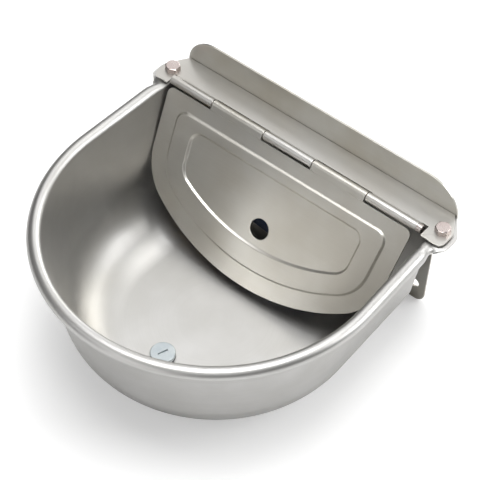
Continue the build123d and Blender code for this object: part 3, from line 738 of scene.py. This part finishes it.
def make_cover_plate():
    """The flat plate over the flange, slotted for the hinge, with its three knuckles."""
    left, right = HINGE_LEFT - SLOT_GAP, HINGE_RIGHT + PIN_HEAD + SLOT_GAP
    outline = rounded([(right, SLOT_REAR, 0), (right, SLOT_FRONT, 0.8)] + mirrored([
        (127.0, SLOT_FRONT, 2.5), (129.2, 85, 4), (129.2, 97, 6), (119.4, 112.2, 0.8)]) + [
        (left, SLOT_FRONT, 0.8), (left, SLOT_REAR, 0)])
    plate = slab("cover_plate_sheet", outline, lambda x, y: at(x, y, COVER_TOP),
                 (0, 0, -SHEET * MM))
    cut(plate, [rod(BOLT_HOLE, THROUGH_COVER, at(x, BOLT_Y, COVER_TOP), (0, 0, 1))
                for x in (-BOLT_X, BOLT_X)])
    soften(plate, bpy.context.scene.drinking_bowl_sizes.edge_break / MM)
    section = rolled(0, SLOT_REAR - HINGE_Y, PLATE_ROLL_END)
    plate = add_knuckles(plate, "plate_knuckle", section,
                         lambda x, a, b: at(x, HINGE_Y + a, HINGE_Z + b), PLATE_KNUCKLES)
    finish_piece(plate, finish("brushed stainless plate"), "bowl", ["cover_plate"])


# ---- float cover --------------------------------------------------------------------------
def on_cover(u, s, n):
    """A point of the hanging cover: across, down from the hinge, and out from the pin."""
    return at(COVER_X + u, HINGE_Y - s * cos(SLOPE) - n * sin(SLOPE),
              HINGE_Z - s * sin(SLOPE) + n * cos(SLOPE))


def cover_loop(margin, top, corner):
    """Outline of the cover or of one of its pressed steps, set in by a margin."""
    half, end = COVER_HALF - margin, COVER_LENGTH - margin
    side = (half - (SHOULDER - top) * tan(COVER_DRAFT), SHOULDER)
    radius = SHOULDER_RADIUS - margin
    centre = (side[0] - radius * cos(COVER_DRAFT), side[1] - radius * sin(COVER_DRAFT))
    # the belly's arc runs into the shoulder's without a corner
    drop = end - centre[1]
    belly = (centre[0] ** 2 + drop ** 2 - radius ** 2) / (2 * (drop - radius))
    low = end - belly
    touch = degrees(atan2(centre[1] - low, centre[0]))
    corner_arc = rounded([(0, top, 0), (half, top, corner), side + (0,)], 8)[1:-1]
    (first, _), last = corner_arc[0], corner_arc[-1]
    right = [(first * i / 18, top) for i in range(18)] + corner_arc
    for i in range(1, 9):
        right.append((last[0] + (side[0] - last[0]) * i / 9, last[1] + (side[1] - last[1]) * i / 9))
    right += arc(centre, radius, degrees(COVER_DRAFT), touch, 18)
    right += arc((0, low), belly, touch, 90, 26)[1:]
    return right + [(-x, y) for x, y in reversed(right[1:-1])]


def grow_ring(obj, before, after):
    """Extrudes the selected ring of edges and moves it from one set of points to the next."""
    bpy.ops.mesh.extrude_edges_move(TRANSFORM_OT_translate={"value": (0, 0, 0)})
    shape = bmesh.from_edit_mesh(obj.data)
    places = KDTree(len(before))
    for i, point in enumerate(before):
        places.insert(point, i)
    places.balance()
    for vert in shape.verts:
        if vert.select:
            vert.co = after[places.find(vert.co)[1]]
    bmesh.update_edit_mesh(obj.data)


def closed_line(name, points):
    """Draws a line and closes it."""
    line = draw_line(name, points)
    pick(line, "verts", lambda v: len(v.link_edges) == 1)
    bpy.ops.mesh.edge_face_add()
    leave()
    return line


def cover_rings():
    """The cover's rings, as (across, down, out), from its edge in to its finger hole."""
    sizes = bpy.context.scene.drinking_bowl_sizes
    low, high, width = KNUCKLE, KNUCKLE + sizes.panel_height / MM, sizes.step_width / MM

    def step(margin, top, corner, start, end):
        """One pressed step: seven rings that rise or fall gently."""
        shares = [i / 6 for i in range(7)]
        return [(margin + (t - 0.5) * width, top + (t - 0.5) * width, corner - (t - 0.5) * width,
                 start + (end - start) * t * t * (3 - 2 * t)) for t in shares]

    levels = ([(0, COVER_HEAD, 5.0, low)] + step(*OUTER_STEP, low, high) + [BORDER + (high,)]
              + step(*INNER_STEP, high, low))
    loops = [[(u, s, n) for u, s in cover_loop(margin, top, corner)]
             for margin, top, corner, n in levels]
    angles = [atan2(s - FINGER_HOLE, u) for u, s, _ in loops[-1]]
    return loops + [[(radius * cos(a), FINGER_HOLE + radius * sin(a), low - depth)
                     for a in angles] for radius, depth in FINGER_RINGS]


def make_float_cover():
    """The hinged cover: grown inwards ring by ring, given its thickness, with two knuckles."""
    lines = [[on_cover(*point) for point in ring] for ring in cover_rings()]
    cover = closed_line("float_cover_sheet", lines[0])
    edit(cover)
    bpy.ops.mesh.select_mode(type="EDGE")
    bpy.ops.mesh.select_all(action="SELECT")
    for before, after in zip(lines, lines[1:]):
        grow_ring(cover, before, after)
    on_all(bpy.ops.mesh.normals_make_consistent, inside=False)
    leave()
    face(cover, cover.data.polygons[0], (0, -sin(SLOPE), cos(SLOPE)))
    apply_modifier(cover, "SOLIDIFY", thickness=SHEET * MM, offset=-1)
    soften(cover, 0.15, 60)
    section = rolled(KNUCKLE, COVER_HEAD, COVER_ROLL_END)
    cover = add_knuckles(cover, "cover_knuckle", section,
                         lambda x, a, b: on_cover(x - COVER_X, a, b), COVER_KNUCKLES)
    finish_piece(cover, finish("pressed cold-rolled stainless"), "cover", ["float_cover"],
                 smooth=40)


# ---- fasteners ----------------------------------------------------------------------------
def chamfer_cone(centre, top_radius, height):
    """The cone that turns the corners of a hexagon head down, 30 degrees off level."""
    deselect()
    bpy.ops.mesh.primitive_cone_add(
        vertices=FINE, radius1=(top_radius + height / tan(radians(30))) * MM,
        radius2=top_radius * MM, depth=height * MM, location=centre)
    return settled()


def make_cover_bolts():
    """The two hexagon bolts that hold the cover plate on the ears."""
    bolts = []
    for side in (-1, 1):
        centre = at(side * BOLT_X, BOLT_Y, COVER_TOP + HEAD / 2)
        head = rod(HEXAGON / sqrt(3), HEAD, centre, (0, 0, 1), 6)
        cut(head, [chamfer_cone(centre, HEAD_FLAT, HEAD)], "INTERSECT")
        shank = rod(SHANK, SHANK_LENGTH,
                    at(side * BOLT_X, BOLT_Y, COVER_TOP - SHANK_LENGTH / 2), (0, 0, 1), 32)
        soften(head, 0.22, 20, 3)
        bolts += [head, shank]
    bolts = join(bolts, "hexagon_bolts")
    finish_piece(bolts, finish("cold-headed stainless"), "bowl", ["cover_bolts"])


def make_drain_plug():
    """The plug: a disc with a rounded upper edge and a slot, on a plain shank."""
    seat = -DEPTH + SHEET + GASKET
    head = rod(PLUG, PLUG_HEIGHT, at(DRAIN_X, DRAIN_Y, seat + PLUG_HEIGHT / 2), (0, 0, 1), FINE)
    edit(head)
    below_top = at(0, 0, seat + PLUG_HEIGHT - 0.1).z
    pick(head, "edges", lambda e: all(v.co.z > below_top for v in e.verts))
    bpy.ops.mesh.bevel(offset=PLUG_EDGE * MM, segments=4, affect="EDGES")
    leave()
    deselect()
    turn = bpy.context.scene.drinking_bowl_sizes.slot_turn
    bpy.ops.mesh.primitive_cube_add(size=1, location=at(DRAIN_X, DRAIN_Y, seat + PLUG_HEIGHT),
                                    rotation=(0, 0, turn))
    bpy.context.object.scale = [size * MM for size in PLUG_SLOT]
    cut(head, [settled()])
    # the shank's end is sunk 0.2 mm into the head
    shank = rod(PLUG_SHANK, PLUG_SHANK_LENGTH,
                at(DRAIN_X, DRAIN_Y, seat + 0.2 - PLUG_SHANK_LENGTH / 2), (0, 0, 1), 48)
    plug = join([head, shank], "slotted_drain_plug")
    soften(plug, 0.12, 60)
    finish_piece(plug, finish("turned passivated stainless"), "drain", ["drain_plug"])


# ---- stage --------------------------------------------------------------------------------
# the camera: places in metres, its lens and its sensor in millimetres
CAMERA_TARGET = Vector((0.01879, -0.11069, 0.058))
CAMERA_DISTANCE = 1.419
CAMERA_AZIMUTH = radians(39.5)
CAMERA_ELEVATION = radians(49.01)
CAMERA_ROLL = radians(0.49)
CAMERA_LENS, CAMERA_SENSOR = 156.73, 36
# the height of the wall plate's foot, in metres
STANDING_LEVEL = -0.0465


def camera_axes(azimuth, elevation, roll):
    """The camera's right, up and backward directions."""
    back = Vector((sin(azimuth) * cos(elevation), -cos(azimuth) * cos(elevation), sin(elevation)))
    right = Vector((cos(azimuth), sin(azimuth), 0))
    up = back.cross(right)
    return cos(roll) * right + sin(roll) * up, cos(roll) * up - sin(roll) * right, back


# lamp: the way it stands from the bowl, and its power in watts
LAMPS = (
    ("top softbox", (0, 0, 1), 29.9),
    ("right rear softbox", (1, 0.8, 0.8), 16.3),
    ("rear softbox", (0, 1, 0.5), 10.0),
    ("rear low softbox", (-0.3, 1, 0.25), 8.5),
    ("camera side softbox", (0.417, -0.506, 0.755), 3.0),
    ("front low softbox", (0, -1, 0.25), 4.7),
    ("front left softbox", (-0.5, -1, 0.8), 3.4),
    ("left rear softbox", (-0.42, 0.51, 0.75), 4.4),
)
LAMP_REACH, LAMP_SIZE = 2.0, 1.2
LAMP_AIM = Vector((0, -0.1, 0))
WORLD_STRENGTH = 0.12
# what the floor adds of its own where the camera sees it, and its width in metres
FLOOR_WHITE, FLOOR_SIZE = 0.33, 12
WHITE = (1, 1, 1, 1)


def lay_floor(colour):
    """The pale floor, which keeps the bowl's shadow and adds white for the camera alone."""
    deselect()
    bpy.ops.mesh.primitive_plane_add(size=FLOOR_SIZE, location=(0, 0, STANDING_LEVEL))
    floor = settled()
    floor.name = "floor"
    material, tree = new_material("pale floor")
    diffuse = add_node(tree, "ShaderNodeBsdfDiffuse", {"Color": colour})
    path = add_node(tree, "ShaderNodeLightPath")
    strength = add_node(tree, "ShaderNodeMath", {"operation": "MULTIPLY", 1: FLOOR_WHITE}, {
        0: path.outputs["Is Camera Ray"]})
    fill = add_node(tree, "ShaderNodeEmission", {"Color": WHITE}, {
        "Strength": strength.outputs[0]})
    total = add_node(tree, "ShaderNodeAddShader", links={
        0: diffuse.outputs[0], 1: fill.outputs[0]})
    add_node(tree, "ShaderNodeOutputMaterial", links={"Surface": total.outputs[0]})
    floor.data.materials.append(material)


def light_world():
    """A world that the camera sees white, and that lights the bowl only a little."""
    world = bpy.data.worlds.new("studio")
    bpy.context.scene.world = world
    world.use_nodes = True
    tree = world.node_tree
    tree.nodes.clear()
    soft = add_node(tree, "ShaderNodeBackground", {"Color": WHITE, "Strength": WORLD_STRENGTH})
    white = add_node(tree, "ShaderNodeBackground", {"Color": WHITE, "Strength": 1.0})
    path = add_node(tree, "ShaderNodeLightPath")
    mix = add_node(tree, "ShaderNodeMixShader", links={
        0: path.outputs["Is Camera Ray"], 1: soft.outputs[0], 2: white.outputs[0]})
    add_node(tree, "ShaderNodeOutputWorld", links={"Surface": mix.outputs[0]})


def hang_lamps():
    """The softboxes, each at its own side of the bowl and aimed at it."""
    for name, way, power in LAMPS:
        place = LAMP_AIM + Vector(way).normalized() * LAMP_REACH
        bpy.ops.object.light_add(type="AREA", location=place)
        lamp = bpy.context.object
        lamp.name = name
        lamp.data.shape = "SQUARE"
        lamp.data.size = LAMP_SIZE
        lamp.data.energy = power
        lamp.rotation_euler = (LAMP_AIM - place).to_track_quat("-Z", "Y").to_euler()


def set_camera():
    """The camera, and the plain way that its view turns light to colour."""
    right, up, back = camera_axes(CAMERA_AZIMUTH, CAMERA_ELEVATION, CAMERA_ROLL)
    bpy.ops.object.camera_add()
    camera = bpy.context.object
    camera.data.lens = CAMERA_LENS
    camera.data.sensor_width = CAMERA_SENSOR
    camera.matrix_world = Matrix.Translation(CAMERA_TARGET + back * CAMERA_DISTANCE) @ Matrix(
        (right, up, back)).transposed().to_4x4()
    bpy.context.scene.camera = camera
    bpy.context.scene.view_settings.view_transform = "Standard"


# ---- add-on -------------------------------------------------------------------------------
# which of the construction's own nodes has which finish
PLAIN_NODES = {
    "cold-headed stainless": ("cover_washers", "cover_nuts", "drain_nut"),
    "drawn stainless wire": ("hinge_pin", "arm_pivot_pin"),
    "turned brass": ("valve_body", "valve_plunger", "inlet_nut", "float_arm", "float_nuts"),
    "moulded EPDM rubber": ("plunger_seal", "inlet_gasket", "inlet_washer", "drain_gasket"),
    "moulded acetal": ("valve_seat",),
    "blow-moulded polyethylene": ("float",),
}


class DRINKER_PG_sizes(bpy.types.PropertyGroup):
    """Sizes of the pieces that a user would change."""
    panel_height: bpy.props.FloatProperty(
        name="Panel height", description="How far the pressed panel stands off the cover",
        default=1.5 * MM, min=0, max=1.5 * MM, precision=5, unit="LENGTH")
    step_width: bpy.props.FloatProperty(
        name="Step width", description="Width of each pressed step of the cover",
        default=2.4 * MM, min=1.5 * MM, max=4 * MM, precision=5, unit="LENGTH")
    edge_break: bpy.props.FloatProperty(
        name="Edge break", description="How wide the cut edges of the plates are broken",
        default=0.2 * MM, min=0.05 * MM, max=0.4 * MM, precision=5, unit="LENGTH")
    slot_turn: bpy.props.FloatProperty(
        name="Slot turn", description="Which way the drain plug's slot points",
        default=radians(70.5), subtype="ANGLE")


def colour_property(name, description, colour):
    """A colour that a user may change, written as an sRGB hex value."""
    return bpy.props.FloatVectorProperty(name=name, description=description, size=4,
                                         subtype="COLOR", min=0, max=1, default=linear(colour))


class DRINKER_PG_colours(bpy.types.PropertyGroup):
    """Colours of the finishes."""
    bowl: colour_property("Bowl", "Satin steel of the drawn bowl", "#d2d1cf")
    cover: colour_property("Float cover", "Pressed steel of the float cover", "#d5d3cd")
    plate: colour_property("Cover plate", "Brushed steel of the cover plate", "#d9d8d5")
    upright: colour_property("Wall plate", "Mill-finish steel of the wall plate", "#d3d2cd")
    fasteners: colour_property("Fasteners", "Bolts, nuts and pins", "#d3c8c4")
    plug: colour_property("Drain plug", "Turned steel of the drain plug", "#c6cccd")
    brass: colour_property("Brass", "Valve body, arm and lock nut", "#c8a25c")
    rubber: colour_property("Rubber", "Gaskets and the seal", "#1d1c1b")
    seat: colour_property("Nozzle", "Plastic nozzle of the valve", "#eceae4")
    float_skin: colour_property("Float", "Skin of the float", "#1b3052")
    floor: colour_property("Floor", "Floor of the stage", "#e7e7e7")


class DRINKER_OT_drawn_bowl(bpy.types.Operator):
    """Draws the bowl with its rolled rim, ears, pressed valve seat and holes."""
    bl_idname = "drinker.drawn_bowl"
    bl_label = "Drawn bowl"

    def execute(self, context):
        make_bowl()
        return {"FINISHED"}


class DRINKER_OT_wall_plate(bpy.types.Operator):
    """Cuts the upright plate that is screwed to the wall."""
    bl_idname = "drinker.wall_plate"
    bl_label = "Wall plate"

    def execute(self, context):
        make_wall_plate()
        return {"FINISHED"}


class DRINKER_OT_cover_plate(bpy.types.Operator):
    """Cuts the plate over the rear flange and rolls its three knuckles."""
    bl_idname = "drinker.cover_plate"
    bl_label = "Cover plate"

    def execute(self, context):
        make_cover_plate()
        return {"FINISHED"}


class DRINKER_OT_float_cover(bpy.types.Operator):
    """Presses the hinged float cover and rolls its two knuckles."""
    bl_idname = "drinker.float_cover"
    bl_label = "Float cover"

    def execute(self, context):
        make_float_cover()
        return {"FINISHED"}


class DRINKER_OT_cover_bolts(bpy.types.Operator):
    """Makes the two hexagon bolts of the cover plate."""
    bl_idname = "drinker.cover_bolts"
    bl_label = "Cover bolts"

    def execute(self, context):
        make_cover_bolts()
        return {"FINISHED"}


class DRINKER_OT_drain_plug(bpy.types.Operator):
    """Turns the slotted drain plug."""
    bl_idname = "drinker.drain_plug"
    bl_label = "Drain plug"

    def execute(self, context):
        make_drain_plug()
        return {"FINISHED"}


class DRINKER_OT_plain_nodes(bpy.types.Operator):
    """Gives the construction's own pins, nuts, gaskets, valve and float their finishes."""
    bl_idname = "drinker.plain_nodes"
    bl_label = "Valve, float and small parts"

    def execute(self, context):
        for name, nodes in PLAIN_NODES.items():
            for node in nodes:
                dress(node, finish(name))
        return {"FINISHED"}


class DRINKER_OT_stage(bpy.types.Operator):
    """Adds the pale floor, the lamps, the world and the camera."""
    bl_idname = "drinker.stage"
    bl_label = "Stage"

    def execute(self, context):
        lay_floor(context.scene.drinking_bowl_colours.floor)
        light_world()
        hang_lamps()
        set_camera()
        return {"FINISHED"}


PIECES = (
    DRINKER_OT_drawn_bowl,
    DRINKER_OT_wall_plate,
    DRINKER_OT_cover_plate,
    DRINKER_OT_float_cover,
    DRINKER_OT_cover_bolts,
    DRINKER_OT_drain_plug,
    DRINKER_OT_plain_nodes,
    DRINKER_OT_stage,
)


class DRINKER_PT_pieces(bpy.types.Panel):
    """Lists the pieces, sizes and colours of the drinking bowl."""
    bl_idname = "DRINKER_PT_pieces"
    bl_label = "Drinking bowl"
    bl_space_type = "VIEW_3D"
    bl_region_type = "UI"
    bl_category = "Drinking bowl"

    def draw(self, context):
        for piece in PIECES:
            self.layout.operator(piece.bl_idname)
        for group in (context.scene.drinking_bowl_sizes, context.scene.drinking_bowl_colours):
            column = self.layout.column()
            for name in group.__annotations__:
                column.prop(group, name)


CLASSES = (DRINKER_PG_sizes, DRINKER_PG_colours) + PIECES + (DRINKER_PT_pieces,)


def register():
    """Registers the classes and gives the scene its sizes and colours."""
    for cls in CLASSES:
        bpy.utils.register_class(cls)
    bpy.types.Scene.drinking_bowl_sizes = bpy.props.PointerProperty(type=DRINKER_PG_sizes)
    bpy.types.Scene.drinking_bowl_colours = bpy.props.PointerProperty(type=DRINKER_PG_colours)


def unregister():
    """Takes back what register did."""
    del bpy.types.Scene.drinking_bowl_colours
    del bpy.types.Scene.drinking_bowl_sizes
    for cls in reversed(CLASSES):
        bpy.utils.unregister_class(cls)


def main():
    """Makes the pieces and the stage."""
    register()
    bpy.ops.drinker.drawn_bowl()
    bpy.ops.drinker.wall_plate()
    bpy.ops.drinker.cover_plate()
    bpy.ops.drinker.float_cover()
    bpy.ops.drinker.cover_bolts()
    bpy.ops.drinker.drain_plug()
    bpy.ops.drinker.plain_nodes()
    bpy.ops.drinker.stage()


if __name__ == "__main__":
    main()
